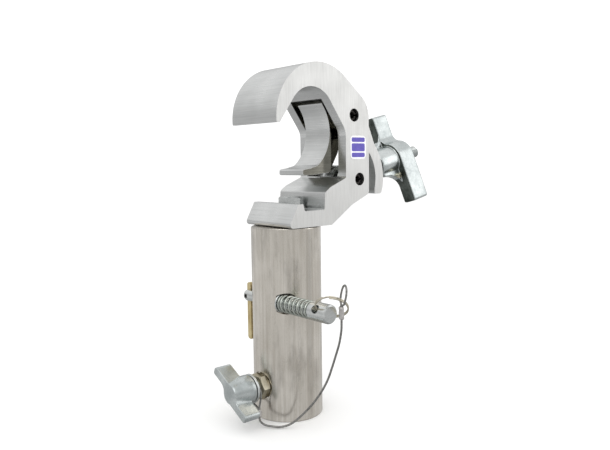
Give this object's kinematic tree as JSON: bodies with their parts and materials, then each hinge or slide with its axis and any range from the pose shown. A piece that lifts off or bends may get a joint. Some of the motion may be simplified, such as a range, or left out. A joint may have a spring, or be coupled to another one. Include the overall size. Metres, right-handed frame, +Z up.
{
  "type": "trigger hook clamp with spigot barrel",
  "caption": "Hook clamp for a lighting tube: a trigger jaw pushed shut by a swing bolt and wing nut, over a barrel for a 28 mm spigot with a sprung locking pin on a lanyard and a wing bolt.",
  "frame": {"origin": "on the axis of the clamped tube, midway across the hook's width", "axes": "+Z up, the clamped tube runs along Y, the hook's mouth faces -X and the swing bolt's wing nut is on the +X side"},
  "size_m": [0.157, 0.0851, 0.1997],
  "materials": {
    "hook_body_finish": "bright sawn and extruded aluminium, vertical grain on the sawn faces",
    "trigger_pivot_pin_finish": "black hollow spring pin",
    "swing_bolt_pivot_pin_finish": "black hollow spring pin",
    "side_label_finish": "plain blue label, no lettering",
    "trigger_washer_near_finish": "natural nylon",
    "trigger_washer_far_finish": "natural nylon",
    "swing_bolt_sleeve_finish": "zinc plated",
    "torsion_spring_finish": "zinc plated spring wire",
    "barrel_finish": "turned aluminium tube, long grain",
    "barrel_bolt_finish": "zinc plated hexagon head",
    "barrel_bolt_washer_finish": "zinc plated",
    "barrel_hex_nut_finish": "yellow zinc plated",
    "pin_seat_washer_finish": "zinc plated",
    "pin_spring_finish": "bright spring wire",
    "lanyard_wire_finish": "grey stranded steel wire",
    "lanyard_lower_ferrule_finish": "crimped ferrule",
    "lanyard_lower_loop_finish": "grey stranded steel wire",
    "trigger_finish": "bright sawn and extruded aluminium",
    "swing_bolt_finish": "zinc plated",
    "thrust_washer_finish": "zinc plated",
    "wing_nut_finish": "zinc plated casting",
    "wing_nut_spring_pin_finish": "plain steel spring pin",
    "drop_pin_finish": "zinc plated",
    "toggle_rivet_finish": "black hollow spring pin",
    "split_ring_finish": "dull plated wire",
    "lanyard_upper_ferrule_finish": "crimped ferrule",
    "lanyard_upper_loop_finish": "grey stranded steel wire",
    "toggle_finish": "yellow zinc plated plate",
    "wing_bolt_washer_finish": "zinc plated",
    "wing_bolt_finish": "zinc plated casting"
  },
  "bodies": {
    "hook": {"hook_body": "hook_body_finish", "trigger_pivot_pin": "trigger_pivot_pin_finish", "swing_bolt_pivot_pin": "swing_bolt_pivot_pin_finish", "side_label": "side_label_finish", "trigger_washer_near": "trigger_washer_near_finish", "trigger_washer_far": "trigger_washer_far_finish", "swing_bolt_sleeve": "swing_bolt_sleeve_finish", "torsion_spring": "torsion_spring_finish", "barrel": "barrel_finish", "barrel_bolt": "barrel_bolt_finish", "barrel_bolt_washer": "barrel_bolt_washer_finish", "barrel_hex_nut": "barrel_hex_nut_finish", "pin_seat_washer": "pin_seat_washer_finish", "pin_spring": "pin_spring_finish", "lanyard_wire": "lanyard_wire_finish", "lanyard_lower_ferrule": "lanyard_lower_ferrule_finish", "lanyard_lower_loop": "lanyard_lower_loop_finish"},
    "trigger": {"trigger": "trigger_finish"},
    "swing_bolt": {"swing_bolt": "swing_bolt_finish"},
    "nut_carrier": {"thrust_washer": "thrust_washer_finish"},
    "wing_nut": {"wing_nut": "wing_nut_finish", "wing_nut_spring_pin": "wing_nut_spring_pin_finish"},
    "drop_pin": {"drop_pin": "drop_pin_finish", "toggle_rivet": "toggle_rivet_finish", "split_ring": "split_ring_finish", "lanyard_upper_ferrule": "lanyard_upper_ferrule_finish", "lanyard_upper_loop": "lanyard_upper_loop_finish"},
    "toggle": {"toggle": "toggle_finish"},
    "wing_bolt_carrier": {"wing_bolt_washer": "wing_bolt_washer_finish"},
    "wing_bolt": {"wing_bolt": "wing_bolt_finish"}
  },
  "joints": [
    {"name": "trigger_turn", "type": "hinge", "parent": "hook", "child": "trigger", "pos_m": [0.0323, 0, 0.0152], "axis": [0, 1, 0], "range_deg": [-10, 0]},
    {"name": "swing_bolt_swing", "type": "hinge", "parent": "hook", "child": "swing_bolt", "pos_m": [0.0366, 0, -0.0218], "axis": [0, 1, 0], "range_deg": [0, 60], "stiffness_Nm_per_rad": 0.06, "springref_deg": -114.59, "deforming": ["torsion_spring"]},
    {"name": "wing_nut_travel", "type": "slide", "parent": "swing_bolt", "child": "nut_carrier", "axis": [0.9763, 0, 0.2164], "range_m": [0, 0.01]},
    {"name": "wing_nut_spin", "type": "hinge", "parent": "nut_carrier", "child": "wing_nut", "pos_m": [0.07565, 0, -0.01314], "axis": [0.9763, 0, 0.2164], "range_deg": [0, 2880]},
    {"name": "locking_pin_slide", "type": "slide", "parent": "hook", "child": "drop_pin", "axis": [0, 1, 0], "range_m": [0, 0.008], "stiffness_N_per_m": 600, "springref_m": -0.004, "deforming": ["pin_spring", "lanyard_wire"]},
    {"name": "toggle_turn", "type": "hinge", "parent": "drop_pin", "child": "toggle", "pos_m": [-0.0165, 0.0182, -0.0889], "axis": [1, 0, 0], "range_deg": [0, 90]},
    {"name": "wing_bolt_travel", "type": "slide", "parent": "hook", "child": "wing_bolt_carrier", "axis": [-1, 0, 0], "range_m": [0, 0.008]},
    {"name": "wing_bolt_spin", "type": "hinge", "parent": "wing_bolt_carrier", "child": "wing_bolt", "pos_m": [-0.0337, 0, -0.1372], "axis": [-1, 0, 0], "range_deg": [0, 2304]}
  ],
  "couplings": [
    {"joint": "wing_nut_spin", "follows": "wing_nut_travel", "rad_per_m": 5026.5},
    {"joint": "trigger_turn", "follows": "wing_nut_travel", "rad_per_m": -17.453},
    {"joint": "toggle_turn", "follows": "locking_pin_slide", "rad_per_m": 196.3},
    {"joint": "wing_bolt_spin", "follows": "wing_bolt_travel", "rad_per_m": 5026.5}
  ]
}
